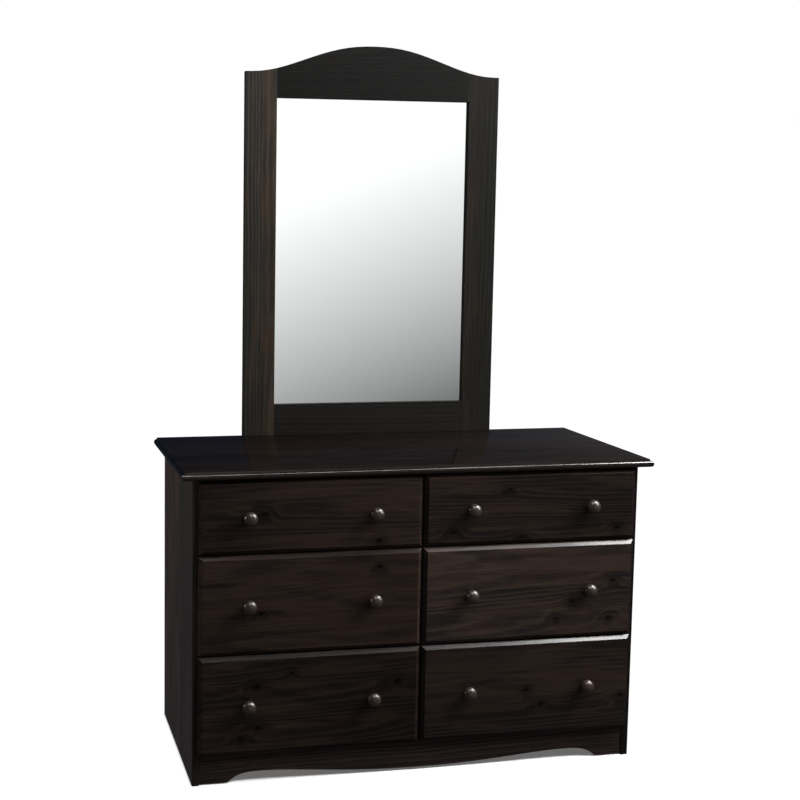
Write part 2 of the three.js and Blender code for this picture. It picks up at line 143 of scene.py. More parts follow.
def knot(tree, place, grown, where, radius):
    """Growth rings that close round a knot, and the knot's dark heart with a cloud about it. The
    distance from the knot counts in its radii, and a knot is longer along the grain than across
    it."""
    long_radius = 1.5 * radius
    raggedness, bulge, closeness = 1.1, 1.5 * radius, 0.22
    from_knot = add(tree, "ShaderNodeMapping", {
        "Vector": place,
        "Location": (-where[0] / long_radius, -where[1] / radius, 0),
        "Scale": (1 / long_radius, 1 / radius, 0),
    })
    ragged = add(tree, "ShaderNodeTexNoise", {"Vector": from_knot, "Scale": 1.1, "Detail": 3})
    distance = add(tree, "ShaderNodeVectorMath", (from_knot,), out="Value", operation="LENGTH")
    distance = add(tree, "ShaderNodeMath", (ragged, raggedness, distance), operation="MULTIPLY_ADD")
    squared = add(tree, "ShaderNodeMath", (distance, distance), operation="MULTIPLY")
    fall = add(tree, "ShaderNodeMath", (squared, -closeness), operation="MULTIPLY")
    rise = add(tree, "ShaderNodeMath", (fall,), operation="EXPONENT")
    grown = add(tree, "ShaderNodeMath", (rise, bulge, grown), operation="MULTIPLY_ADD")
    heart = add(tree, "ShaderNodeMapRange", {
        "Value": distance, "From Min": 0.85, "From Max": 1.6, "To Min": 1, "To Max": 0,
    }, interpolation_type="SMOOTHSTEP")
    cloud = add(tree, "ShaderNodeMapRange", {
        "Value": distance, "From Min": 1, "From Max": 3.2, "To Min": 0.5, "To Max": 0,
    }, interpolation_type="SMOOTHSTEP")
    return grown, add(tree, "ShaderNodeMath", (heart, cloud), operation="MAXIMUM")


def per_millimetre(along, across):
    """The scale of a pattern whose features are so many millimetres long and wide."""
    return 1 / along, 1 / across, 1 / across


def pine_figure(tree, along, across, middle, strip=90, ring=7.5, seed=0, knots=()):
    """Sawn pine glued from strips: its latewood lines, fibres, broad streaks, each strip's tone and
    the knots. Strips and growth rings have their widths in millimetres."""
    # How thick the boards are before another one follows, and how far apart in the log they were
    layer, log_spread = 60, (5000, 1.1 * strip, 50)
    # How far the grain bows and waves, and how far it runs out of the board in each millimetre
    bow_size, wave_size, slope = (0, 16, 16), (0, 2.6, 2.6), (0, 0, 0.08)
    to_pith = (0, -50, 45)
    # How many years pass between good and bad ones, and by how many rings these shift the others
    season_years, season_spread = 2.3, 1.6
    place = grain_place(tree, along, across, middle)
    lengthwise, crosswise, inward = add(tree, "ShaderNodeSeparateXYZ", (place,)).node.outputs
    strips = add(tree, "ShaderNodeMath", (crosswise, 1 / strip, 0.5), operation="MULTIPLY_ADD")
    strip_number = add(tree, "ShaderNodeMath", (strips,), operation="FLOOR")
    in_strip = add(tree, "ShaderNodeMath", (strips,), operation="FRACT")
    in_strip = add(tree, "ShaderNodeMath", (in_strip, strip, -strip / 2), operation="MULTIPLY_ADD")
    board_number = add(tree, "ShaderNodeMath", (inward, 1 / layer, 0.5), operation="MULTIPLY_ADD")
    board_number = add(tree, "ShaderNodeMath", (board_number,), operation="FLOOR")
    which = add(tree, "ShaderNodeCombineXYZ", (strip_number, board_number, seed + 0.5))
    chance = add(
        tree, "ShaderNodeTexWhiteNoise", {"Vector": which}, out="Color", noise_dimensions="3D")
    chance = add(tree, "ShaderNodeVectorMath", (chance, (0.5, 0.5, 0.5)), operation="SUBTRACT")
    in_board = add(tree, "ShaderNodeCombineXYZ", (lengthwise, in_strip, inward))
    from_log = add(tree, "ShaderNodeVectorMath", (chance, log_spread), operation="MULTIPLY")
    in_log = add(tree, "ShaderNodeVectorMath", (in_board, from_log), operation="ADD")

    # The grain bows over the length of the board and waves over a hand's width
    bow = add(tree, "ShaderNodeMapping", {"Vector": in_log, "Scale": per_millimetre(420, 120)})
    bow = add(
        tree, "ShaderNodeTexNoise", {"Vector": bow, "Scale": 1, "Detail": 1.5}, out="Color")
    wave = add(tree, "ShaderNodeMapping", {"Vector": in_log, "Scale": per_millimetre(70, 14)})
    wave = add(
        tree, "ShaderNodeTexNoise", {"Vector": wave, "Scale": 1, "Detail": 2}, out="Color")
    bent = add(tree, "ShaderNodeVectorMath", (bow, bow_size, in_log), operation="MULTIPLY_ADD")
    bent = add(tree, "ShaderNodeVectorMath", (wave, wave_size, bent), operation="MULTIPLY_ADD")
    pith_slope = add(tree, "ShaderNodeVectorMath", (chance, slope), operation="MULTIPLY")
    sloped = add(tree, "ShaderNodeVectorMath", (pith_slope,), operation="SCALE")
    tree.links.new(lengthwise, sloped.node.inputs["Scale"])
    bent = add(tree, "ShaderNodeVectorMath", (bent, sloped), operation="ADD")
    from_pith = add(
        tree, "ShaderNodeVectorMath", (bent, (0, 1, 1), to_pith), operation="MULTIPLY_ADD")
    grown = add(tree, "ShaderNodeVectorMath", (from_pith,), out="Value", operation="LENGTH")

    hearts = 0
    for where, radius in knots:
        grown, heart = knot(tree, place, grown, where, radius)
        hearts = add(tree, "ShaderNodeMath", (hearts, heart), operation="MAXIMUM")

    # Good and bad years: rings some way apart grow wider or narrower
    season = add(tree, "ShaderNodeTexNoise", {
        "W": add(tree, "ShaderNodeMath", (grown, 1 / (season_years * ring)), operation="MULTIPLY"),
        "Scale": 1, "Detail": 1,
    }, noise_dimensions="1D")
    rings = add(
        tree, "ShaderNodeMath", (season, season_spread * ring, grown), operation="MULTIPLY_ADD")
    rings = add(tree, "ShaderNodeMath", (rings, 1 / ring), operation="MULTIPLY")
    year = add(tree, "ShaderNodeMath", (rings,), operation="FRACT")
    # Latewood darkens slowly through each year and ends at once, so a year closes and opens on the
    # same share
    latewood = add(tree, "ShaderNodeValToRGB", (year,))
    stops = latewood.node.color_ramp.elements
    winter = 0.25
    stops[0].position, stops[0].color = 0, (winter, winter, winter, 1)
    stops[1].position, stops[1].color = 1, (winter, winter, winter, 1)
    for position, share in ((0.1, 0.04), (0.4, 0), (0.68, 0.5), (0.86, 1)):
        stops.new(position).color = (share, share, share, 1)

    # Real pine fibres are 0.03 mm wide: they are drawn 1 mm wide so that they show
    fibres = add(tree, "ShaderNodeMapping", {"Vector": bent, "Scale": per_millimetre(90, 1)})
    fibres = add(tree, "ShaderNodeTexNoise", {
        "Vector": fibres, "Scale": 1, "Detail": 3, "Roughness": 0.6,
    })
    streaks = add(tree, "ShaderNodeMapping", {"Vector": bent, "Scale": per_millimetre(190, 30)})
    streaks = add(tree, "ShaderNodeTexNoise", {
        "Vector": streaks, "Scale": 1, "Detail": 3, "Roughness": 0.55,
    })
    lines = add(tree, "ShaderNodeMapping", {"Vector": bent, "Scale": per_millimetre(500, 5)})
    lines = add(tree, "ShaderNodeTexNoise", {
        "Vector": lines, "Scale": 1, "Detail": 2, "Roughness": 0.6,
    })
    lines_weight = 1.5
    fine = add(tree, "ShaderNodeMath", (lines, lines_weight, fibres), operation="MULTIPLY_ADD")
    tone = add(tree, "ShaderNodeSeparateXYZ", (chance,), out="Y")
    return {
        "latewood": latewood, "fibres": fibres, "fine": fine, "streaks": streaks, "tone": tone,
        "hearts": hearts, "lengthwise": lengthwise, "crosswise": crosswise,
    }


# How far the figure's noises reach from their dark to their light ends
STREAKS_FROM, STREAKS_TO = 0.38, 0.72
FINE_FROM, FINE_TO = 0.75, 1.75
FIBRES_FROM, FIBRES_TO = 0.3, 0.7
# How deep the relief of wood and hardboard goes, in metres
RELIEF_DEPTH = 0.0003


def wood_material(name, colours, gloss, relief, streak_share, late_share, film=0.5, pale=1,
                  fine=0.5, strip_tone=0.28, lean=0, fade=0, **boards):
    """Pine with its figure. Colours are early wood, late wood, streaks and knots, and the two
    shares say how much of the streaks and the late wood shows. Gloss is the range of roughness,
    film how strongly the surface reflects, relief how strongly its fibres stand up. Pale multiplies
    the colours, and fine is how far the fine lines depart from them. The streaks differ from strip
    to strip by the strip tone, and lean towards one edge by the lean per millimetre. The colour
    grows paler along the board by the painted light slope per millimetre: a painted gradient of
    light and shade, not stain."""
    made, tree = new_material(name)
    seen = pine_figure(tree, **boards)
    early, late, streak, heart = [linear(c) for c in colours]
    # How much of a latewood line comes and goes with the fibres, and how much is always there
    broken, unbroken = 1.3, 0.35
    lines = add(
        tree, "ShaderNodeMath", (seen["fibres"], broken, unbroken), operation="MULTIPLY_ADD")
    lines = add(
        tree, "ShaderNodeMath", (lines, seen["latewood"]), operation="MULTIPLY", use_clamp=True)
    lines = add(tree, "ShaderNodeMath", (lines, late_share), operation="MULTIPLY")
    ground = add(tree, "ShaderNodeMix", {0: lines, 6: early, 7: late}, out=2, data_type="RGBA")
    uptake = add(
        tree, "ShaderNodeMath", (seen["tone"], strip_tone, seen["streaks"]),
        operation="MULTIPLY_ADD")
    uptake = add(
        tree, "ShaderNodeMath", (seen["crosswise"], lean, uptake), operation="MULTIPLY_ADD")
    uptake = add(tree, "ShaderNodeMapRange", {
        "Value": uptake, "From Min": STREAKS_FROM, "From Max": STREAKS_TO, "To Max": streak_share,
    }, interpolation_type="SMOOTHSTEP")
    ground = add(tree, "ShaderNodeMix", {0: uptake, 6: ground, 7: streak}, out=2, data_type="RGBA")
    ground = add(
        tree, "ShaderNodeMix", {0: seen["hearts"], 6: ground, 7: heart}, out=2, data_type="RGBA")
    shade = add(tree, "ShaderNodeMapRange", {
        "Value": seen["fine"], "From Min": FINE_FROM, "From Max": FINE_TO,
        "To Min": pale * (1 - fine), "To Max": pale * (1 + fine),
    })
    # Painted light and shade: the colour grows paler along the board at a set slope
    painted_light_along = add(
        tree, "ShaderNodeMath", (seen["lengthwise"], fade, 1), operation="MULTIPLY_ADD")
    shade = add(tree, "ShaderNodeMath", (shade, painted_light_along), operation="MULTIPLY")
    ground = add(
        tree, "ShaderNodeVectorMath", {"Vector": ground, "Scale": shade}, operation="SCALE")
    rough = add(tree, "ShaderNodeMapRange", {
        "Value": seen["fibres"], "From Min": FIBRES_FROM, "From Max": FIBRES_TO,
        "To Min": gloss[0], "To Max": gloss[1],
    })
    # Latewood stands up half as far as the fibres do
    late_height = 0.5
    height = add(
        tree, "ShaderNodeMath", (seen["latewood"], late_height, seen["fibres"]),
        operation="MULTIPLY_ADD")
    surface = add(tree, "ShaderNodeBump", {
        "Strength": relief, "Distance": RELIEF_DEPTH, "Height": height,
    })
    shader = add(tree, "ShaderNodeBsdfPrincipled", {
        "Base Color": ground, "Roughness": rough, "IOR": 1.5, "Specular IOR Level": film,
        "Normal": surface,
    })
    add(tree, "ShaderNodeOutputMaterial", (shader,))
    return made


# Stained lacquered pine: almost black, red-brown where the stain didn't sink in, with a satin film
def stained_pine(name, gloss=(0.16, 0.26), relief=0.15, streak_share=0.8, late_share=0.42,
                 film=0.14, fine=0.33, **boards):
    return wood_material(
        "stained_lacquered_pine_" + name, ("#110d0d", "#2a231a", "#231a16", "#060403"),
        gloss, relief, streak_share, late_share, film=film, fine=fine, **boards)


# Stained pine of the mirror frame: the stain gone cooler, a green-black with a few rusty streaks
def mirror_pine(name, streak_share=0.28, fine=0.3, **boards):
    return wood_material(
        "stained_mirror_pine_" + name, ("#100f0d", "#24231f", "#312116", "#050403"),
        gloss=(0.3, 0.42), relief=0.15, streak_share=streak_share, late_share=0.5, film=0.09,
        fine=fine, **boards)


# Turned stained pine: a fine close figure, browner than the boards, with a stronger, softer shine
def turned_pine(name, **boards):
    return wood_material(
        "turned_stained_pine_" + name, ("#211915", "#31261f", "#2a1f1a", "#0a0605"),
        gloss=(0.26, 0.34), relief=0.1, streak_share=0.5, late_share=0.6, film=0.45, **boards)


# Planed bare pine: pale straw early wood and honey late wood, dry and without a film
def bare_pine(name, **boards):
    return wood_material(
        "planed_bare_pine_" + name, ("#b99e77", "#94704a", "#a2805a", "#523620"),
        gloss=(0.5, 0.66), relief=0.3, streak_share=0.5, late_share=0.75, **boards)


# Rotary-cut plywood: a pale, wide, cloudy figure without straight lines, dry to the eye
def plywood(name, **boards):
    return wood_material(
        "rotary_cut_plywood_" + name, ("#c7a877", "#a98453", "#b59262", "#7a5a36"),
        gloss=(0.55, 0.7), relief=0.15, streak_share=0.6, late_share=0.55, fine=0.12,
        ring=40, strip=2000, **boards)


# Hardboard: brown pressed fibre, matt, with a fine speckle
def hardboard():
    made, tree = new_material("pressed_hardboard")
    place = add(tree, "ShaderNodeTexCoord", out="Object")
    speckle = add(tree, "ShaderNodeTexNoise", {"Vector": place, "Scale": 900, "Detail": 2})
    cloud = add(tree, "ShaderNodeTexNoise", {"Vector": place, "Scale": 14, "Detail": 4})
    mixed = add(tree, "ShaderNodeMath", (speckle, 0.5, cloud), operation="MULTIPLY_ADD")
    shade = add(tree, "ShaderNodeMapRange", {"Value": mixed, "From Min": 0.5, "From Max": 1})
    colour = add(tree, "ShaderNodeMix", {
        0: shade, 6: linear("#6a4a31"), 7: linear("#7a583b"),
    }, out=2, data_type="RGBA")
    surface = add(tree, "ShaderNodeBump", {
        "Strength": 0.3, "Distance": RELIEF_DEPTH, "Height": speckle,
    })
    shader = add(tree, "ShaderNodeBsdfPrincipled", {
        "Base Color": colour, "Roughness": 0.75, "IOR": 1.5, "Normal": surface,
    })
    add(tree, "ShaderNodeOutputMaterial", (shader,))
    return made


# Silvered float glass: a sharp reflection, a touch green because light crosses the glass twice
def silvered_glass():
    made, tree = new_material("silvered_float_glass")
    place = add(tree, "ShaderNodeTexCoord", out="Object")
    haze = add(tree, "ShaderNodeTexNoise", {"Vector": place, "Scale": 7, "Detail": 3})
    rough = add(tree, "ShaderNodeMapRange", {"Value": haze, "To Min": 0.0, "To Max": 0.02})
    shader = add(tree, "ShaderNodeBsdfPrincipled", {
        "Base Color": linear("#f7faf9"), "Metallic": 1, "Roughness": rough,
    })
    add(tree, "ShaderNodeOutputMaterial", (shader,))
    return made


# Zinc-plated steel: cool grey screw and brad heads with a dull, slightly yellow plating
def zinc_plated_steel():
    made, tree = new_material("zinc_plated_steel")
    place = add(tree, "ShaderNodeTexCoord", out="Object")
    spangle = add(tree, "ShaderNodeTexNoise", {"Vector": place, "Scale": 700, "Detail": 2})
    rough = add(tree, "ShaderNodeMapRange", {"Value": spangle, "To Min": 0.28, "To Max": 0.5})
    colour = add(tree, "ShaderNodeMix", {
        0: spangle, 6: linear("#a8a79d"), 7: linear("#cfcdc1"),
    }, out=2, data_type="RGBA")
    shader = add(tree, "ShaderNodeBsdfPrincipled", {
        "Base Color": colour, "Metallic": 1, "Roughness": rough,
    })
    add(tree, "ShaderNodeOutputMaterial", (shader,))
    return made


# The plane of the case's front edges, behind the drawer fronts
case_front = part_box("side_panel_left")[0].y
# Depth behind that plane within which a face that looks forward belongs to the front edges
EDGE_DEPTH = 0.025


def plain_mesh(piece):
    """What the piece's modifiers make of it, as a mesh without modifiers."""
    return bpy.data.meshes.new_from_object(
        piece.evaluated_get(bpy.context.evaluated_depsgraph_get()))


def sink_screws(board, places, radius=0.0047, depth=0.0012):
    """Sinks a round seat into the board's rear face at each screw."""
    shape = bmesh.new()
    for place in places:
        bmesh.ops.create_cone(
            shape, cap_ends=True, segments=32, radius1=radius, radius2=radius, depth=2 * depth,
            matrix=Matrix.Translation(place) @ Matrix.Rotation(math.radians(90), 4, "X"))
    mesh = bpy.data.meshes.new("screw_seats")
    shape.to_mesh(mesh)
    shape.free()
    cutter = bpy.data.objects.new("screw_seats", mesh)
    scene.collection.objects.link(cutter)
    seats = board.modifiers.new("screw_seats", "BOOLEAN")
    seats.operation, seats.solver, seats.object = "DIFFERENCE", "EXACT", cutter
    board.data = plain_mesh(board)
    board.modifiers.clear()
    bpy.data.objects.remove(cutter)


# Pieces cut from boards: the CAD solid with its arrises eased, as sandpaper leaves them
def eased_board(node, material, ease=0.0008, front_stain=None, end_stain_and_shading=None, screws=()):
    """A copy of the node with eased arrises, and a sinking for each screw head. A front stain
    covers the faces that look forward, where the case shows, and the end stain and shading, a stain
    with painted light and shade in it, the faces that look to the left or right."""
    same_place, same_plane = 0.00001, math.radians(0.5)
    source = frame["nodes"][node]
    mesh = bpy.data.meshes.new(node + "_eased")
    mesh.from_pydata(
        [v.co for v in source.data.vertices], [], [tuple(p.vertices) for p in source.data.polygons])
    shape = bmesh.new()
    shape.from_mesh(mesh)
    bmesh.ops.remove_doubles(shape, verts=shape.verts, dist=same_place)
    bmesh.ops.dissolve_limit(shape, angle_limit=same_plane, verts=shape.verts, edges=shape.edges)
    for face in shape.faces:
        face.smooth = True
        in_front = face.calc_center_median().y < case_front + EDGE_DEPTH
        looks_forward = face.normal.y < -0.9 and in_front
        looks_sideways = abs(face.normal.x) > 0.3
        if front_stain and looks_forward or end_stain_and_shading and looks_sideways:
            face.material_index = 1
    shape.to_mesh(mesh)
    shape.free()
    mesh.materials.append(material)
    if front_stain or end_stain_and_shading:
        mesh.materials.append(front_stain or end_stain_and_shading)
    board = bpy.data.objects.new(node + "_eased", mesh)
    scene.collection.objects.link(board)
    if screws:
        sink_screws(board, screws)
    if ease:
        easing = board.modifiers.new("eased_arrises", "BEVEL")
        easing.width = ease
        easing.segments = 2
        easing.limit_method = "ANGLE"
        easing.angle_limit = ARRIS
        easing.harden_normals = True
    else:
        mesh.set_sharp_from_angle(angle=ARRIS)
    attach(board, source["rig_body"])
    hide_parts(node)
    return board


def middle_of(node):
    low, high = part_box(node)
    return [(a + b) / 2 for a, b in zip(low, high)]


# Top: a flat board whose front and ends step down to a round nose, mitred at the corners
def nose_outline(rounds=14):
    """The nose seen from its end, in millimetres: inset from the tip and height above the
    underside, from the flat down. Its tip is 8 mm up, with a round of 8 mm above it and a flatter
    one below."""
    tip, under = 8, 5
    outline = [(9, 20), (8.3, 19.75), (8, 19)]
    for i in range(rounds + 1):
        turn = i / rounds * math.pi / 2
        outline.append((tip * (1 - math.sin(turn)), tip + tip * math.cos(turn)))
    for i in range(1, rounds + 1):
        turn = i / rounds * math.pi / 2
        outline.append((under * (1 - math.cos(turn)), tip * (1 - math.sin(turn))))
    return outline


def nosed_top(face_stain, nose_stain):
    """The top panel. The face stain covers the flat and the underside, the nose stain the steps and
    the round."""
    low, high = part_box("top_panel")
    shape = bmesh.new()
    rings = []
    for inset, up in nose_outline():
        left, right, front = low[0] + inset / 1000, high[0] - inset / 1000, low[1] + inset / 1000
        corners = ((left, high[1]), (left, front), (right, front), (right, high[1]))
        rings.append([shape.verts.new((x, y, low[2] + up / 1000)) for x, y in corners])
    for upper, lower in zip(rings, rings[1:]):
        for i in range(4):
            j = (i + 1) % 4
            shape.faces.new((upper[i], upper[j], lower[j], lower[i]))
    shape.faces.new(rings[0])
    shape.faces.new(rings[-1])
    bmesh.ops.recalc_face_normals(shape, faces=shape.faces)
    for face in shape.faces:
        face.smooth = True
        # The flat and the underside are half a square metre each, and the steps are narrow strips
        broad = abs(face.normal.z) > 0.9 and face.calc_area() > 0.1
        face.material_index = 0 if broad else 1
    mesh = bpy.data.meshes.new("top_panel_nosed")
    shape.to_mesh(mesh)
    shape.free()
    mesh.set_sharp_from_angle(angle=STEP)
    mesh.materials.append(face_stain)
    mesh.materials.append(nose_stain)
    board = bpy.data.objects.new("top_panel_nosed", mesh)
    scene.collection.objects.link(board)
    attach(board, frame["nodes"]["top_panel"]["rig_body"])
    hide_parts("top_panel")


# Both stains share one figure, so the grain runs on from the flat over the nose
top_boards = {
    "along": ACROSS, "across": DEEP, "middle": middle_of("top_panel"), "strip": 88, "seed": 3,
    # The top is painted darker than the fronts: painted shade against the strong lamps above it
    "pale": 0.45,
}
nosed_top(stained_pine("top_face", film=0.2, gloss=(0.05, 0.08), relief=0.006, **top_boards),
          stained_pine("top_nose", film=0.4, gloss=(0.11, 0.17), **top_boards))

# Case: the side panels differ in tone. The left one is painted paler, with broad pale streaks,
# partly the stain and partly painted sheen; the right one's front edge is painted darker, which is
# painted shade
case_middle, front_middle = (0, 0, 0.4), (0, case_front, 0.4)
side_looks = {
    "left": {"pale": 2.9, "late_share": 0.8, "fine": 0.6, "seed": 14},
    "right": {"pale": 1.3, "late_share": 0.5, "fine": 0.33, "seed": 12},
}
# The right panel's front edge at 0.4 is painted shade
edge_pales = {"left": 1, "right": 0.4}
for side, look in side_looks.items():
    panel = "side_panel_" + side
    side_edges = stained_pine(
        panel + "_front_edge", along=UP, across=ACROSS, middle=front_middle, seed=24,
        pale=edge_pales[side])
    side_stain = stained_pine(
        panel, along=UP, across=DEEP, middle=middle_of(panel), strip=84, streak_share=1,
        strip_tone=0.45, lean=0.0008, film=0.06, **look)
    eased_board(panel, side_stain, front_stain=side_edges)
eased_board("plinth", stained_pine(
    "plinth", along=ACROSS, across=UP, middle=middle_of("plinth"), strip=120, seed=21, pale=1.6))
front_edges = stained_pine(
    "case_front_edges", along=ACROSS, across=UP, middle=front_middle, seed=22)
case_pine = bare_pine("case", along=DEEP, across=UP, middle=case_middle, strip=95, seed=31)
eased_board("centre_partition", case_pine, ease=0, front_stain=front_edges)
frame_pine = bare_pine("frames", along=ACROSS, across=DEEP, middle=case_middle, strip=70, seed=32)
for level in ("bottom", "lower", "upper", "top"):
    eased_board("web_frame_" + level, frame_pine, ease=0, front_stain=front_edges)
sheet_ply = plywood("sheets", along=ACROSS, across=UP, middle=case_middle, seed=33)
eased_board("back_panel", sheet_ply, ease=0.0004)


# Mirror
def support_screws(side):
    """Pairs of screws into the two web frames behind the back panel, and one screw after another
    into the stile."""
    low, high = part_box("mirror_support_" + side)
    middle, rear = (low[0] + high[0]) / 2, high[1]
    from_middle = 0.016
    pairs = [middle_of(frame_behind)[2] for frame_behind in ("web_frame_upper", "web_frame_top")]
    places = [(middle + shift, rear, z) for z in pairs for shift in (-from_middle, from_middle)]
    return places + [(middle, rear, z) for z in (0.86, 1.11, 1.36, 1.61)]


# The left stile is painted paler than the right one and paler still towards its top, a painted
# highlight; the other uprights darken a little upwards, painted shade
upright_looks = {
    "mirror_stile_left": {"seed": 41, "pale": 1.65, "lean": 0.003, "fade": 0.0004},
    "mirror_stile_right": {"seed": 42, "pale": 0.65, "lean": -0.003, "fade": -0.0003},
    "mirror_support_left": {"seed": 43, "pale": 0.65, "lean": 0.003, "fade": -0.0003},
    "mirror_support_right": {"seed": 44, "pale": 0.65, "lean": -0.003, "fade": -0.0003},
}
for node, look in upright_looks.items():
    upright = mirror_pine(node, along=UP, across=ACROSS, middle=middle_of(node), strip=100, **look)
    eased_board(node, upright, ease=0.0012,
                screws=support_screws(node.split("_")[-1]) if "support" in node else ())
rail_looks = {
    "mirror_top_rail": {"seed": 45, "pale": 0.3},
    "mirror_bottom_rail": {"seed": 46, "pale": 0.75},
}
for node, look in rail_looks.items():
    rail = mirror_pine(node, streak_share=0.08, fine=0.2, along=ACROSS, across=UP,
                       middle=middle_of(node), strip=160, **look)
    eased_board(node, rail, ease=0.0012)
glass = eased_board("mirror_glass", silvered_glass(), ease=0.0004)
eased_board("mirror_backing_board", hardboard(), ease=0.0004)

# Drawer fronts
fronts = {
    # How pale each board took the stain on its face, how pale its ends are painted, how much paler
    # it is painted towards the right in each millimetre, which is painted light and shade, how
    # strong its film shines, and its knots, each with its place in millimetres from the middle and
    # its radius.
    # The ends are the left and right bevels: in the right column they are darker than the face, end
    # grain that drinks more stain and painted shade; in the left column a little paler, painted
    # light
    "top_left": (0.94, 1.1, 0.0007, 0.08, (((-123, 6), 10), ((169, -70), 11))),
    "middle_left": (1.03, 1.4, -0.0002, 0.07, (((-128, -22), 10), ((173, 83), 10))),
    "bottom_left": (0.86, 1, -0.0007, 0.09, (
        ((-137, 46), 11), ((-133, -59), 11), ((-176, -84), 10), ((223, 40), 10), ((-49, 76), 8))),
    "top_right": (0.9, 0.6, -0.0006, 0.12, (
        ((-209, -58), 10), ((-25, -75), 10), ((-61, 47), 9), ((233, -59), 10))),
    "middle_right": (1.45, 0.6, -0.0007, 0.18, (
        ((227, 21), 10), ((116, -29), 10), ((74, -74), 9), ((217, -79), 10))),
    "bottom_right": (0.86, 0.4, 0.0003, 0.17, (((-2, -5), 10), ((40, -45), 10), ((259, -35), 10))),
}
box_middle = (0, 0, 0.42)
box_pine = bare_pine("drawer_sides", along=DEEP, across=UP, middle=box_middle, strip=83, seed=51)
back_pine = bare_pine("drawer_backs", along=ACROSS, across=UP, middle=box_middle, strip=83, seed=52)
bottom_ply = plywood(
    "drawer_bottoms", along=ACROSS, across=DEEP, middle=(0, 0, 0), seed=53, pale=0.75)
for number, (place, (pale, end_pale_and_shading, fade, film, knots)) in enumerate(fronts.items()):
    drawer = "drawer_" + place
    boards = {
        "along": ACROSS, "across": UP, "middle": middle_of(drawer + "_front"), "strip": 92,
        "seed": 60 + number, "film": film,
    }
    face_stain = stained_pine(drawer + "_front", pale=pale, fade=fade, knots=knots, **boards)
    # The ends' colour holds painted shade in the right column and painted light in the left
    end_stain_and_shading = stained_pine(drawer + "_front_ends", pale=end_pale_and_shading, **boards)
    eased_board(drawer + "_front", face_stain, ease=0.0012, end_stain_and_shading=end_stain_and_shading)
    eased_board(drawer + "_side_left", box_pine)
    eased_board(drawer + "_side_right", box_pine)
    eased_board(drawer + "_back", back_pine)
    eased_board(drawer + "_bottom", bottom_ply, ease=0.0004)


# Knobs: how far each stands out from its drawer front, in millimetres
KNOB_REACH = 30


def bezier(points, steps):
    """Points of one Bezier curve after its first point."""
    for step in range(1, steps + 1):
        t = step / steps
        level = [Vector(p) for p in points]
        while len(level) > 1:
            level = [a.lerp(b, t) for a, b in zip(level, level[1:])]
        yield tuple(level[0])


def knob_profile():
    """Radius and distance from the drawer front, in millimetres: the tenon, the foot, the neck, the
    widest place and the middle of the face."""
    foot, neck, widest, face = (11, 0.4), (8, 6), (17.5, 17), (0, KNOB_REACH)
    outline = [(0, -19), (5, -19), (5, 0), (10.6, 0), foot]
    outline += bezier([foot, (8.2, 0.6), neck], 12)
    outline += bezier([neck, (13.2, 6), (17.5, 10.9), widest], 24)
    outline += bezier([widest, (17.5, 24.2), (9.6, KNOB_REACH), face], 26)
    return outline


def turned_knob(node, material, sides=72):
    """The knob's outline turned about its own axis, which runs along Y through the middle of its
    CAD solid."""
    centre_x, _, centre_z = middle_of(node)
    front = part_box(node)[0][1] + KNOB_REACH / 1000
    shape = bmesh.new()
    rounds = []
    for radius, reach in knob_profile():
        if radius == 0:
            rounds.append([shape.verts.new((centre_x, front - reach / 1000, centre_z))])
            continue
        rounds.append([shape.verts.new((
            centre_x + radius / 1000 * math.cos(math.tau * i / sides), front - reach / 1000,
            centre_z + radius / 1000 * math.sin(math.tau * i / sides))) for i in range(sides)])
    for inner, outer in zip(rounds, rounds[1:]):
        for i in range(sides):
            j = (i + 1) % sides
            # A round of one point, on the axis, gives triangles
            ring = [inner[i % len(inner)], inner[j % len(inner)],
                    outer[j % len(outer)], outer[i % len(outer)]]
            shape.faces.new(list(dict.fromkeys(ring))).smooth = True
    bmesh.ops.recalc_face_normals(shape, faces=shape.faces)
    mesh = bpy.data.meshes.new(node + "_turned")
    shape.to_mesh(mesh)
    shape.free()
    mesh.materials.append(material)
    mesh.set_sharp_from_angle(angle=TURNED_EDGE)
    knob = bpy.data.objects.new(node + "_turned", mesh)
    scene.collection.objects.link(knob)
    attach(knob, frame["nodes"][node]["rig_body"])
    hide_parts(node)


for place in fronts:
    for side in ("left", "right"):
        node = "drawer_" + place + "_knob_" + side
        # Each knob has a figure of its own, numbered from the letters of its name
        own_seed = sum(map(ord, node)) % 97
        turned_knob(node, turned_pine(
            node, along=DEEP, across=UP, middle=middle_of(node), strip=60, ring=3.5, seed=own_seed))


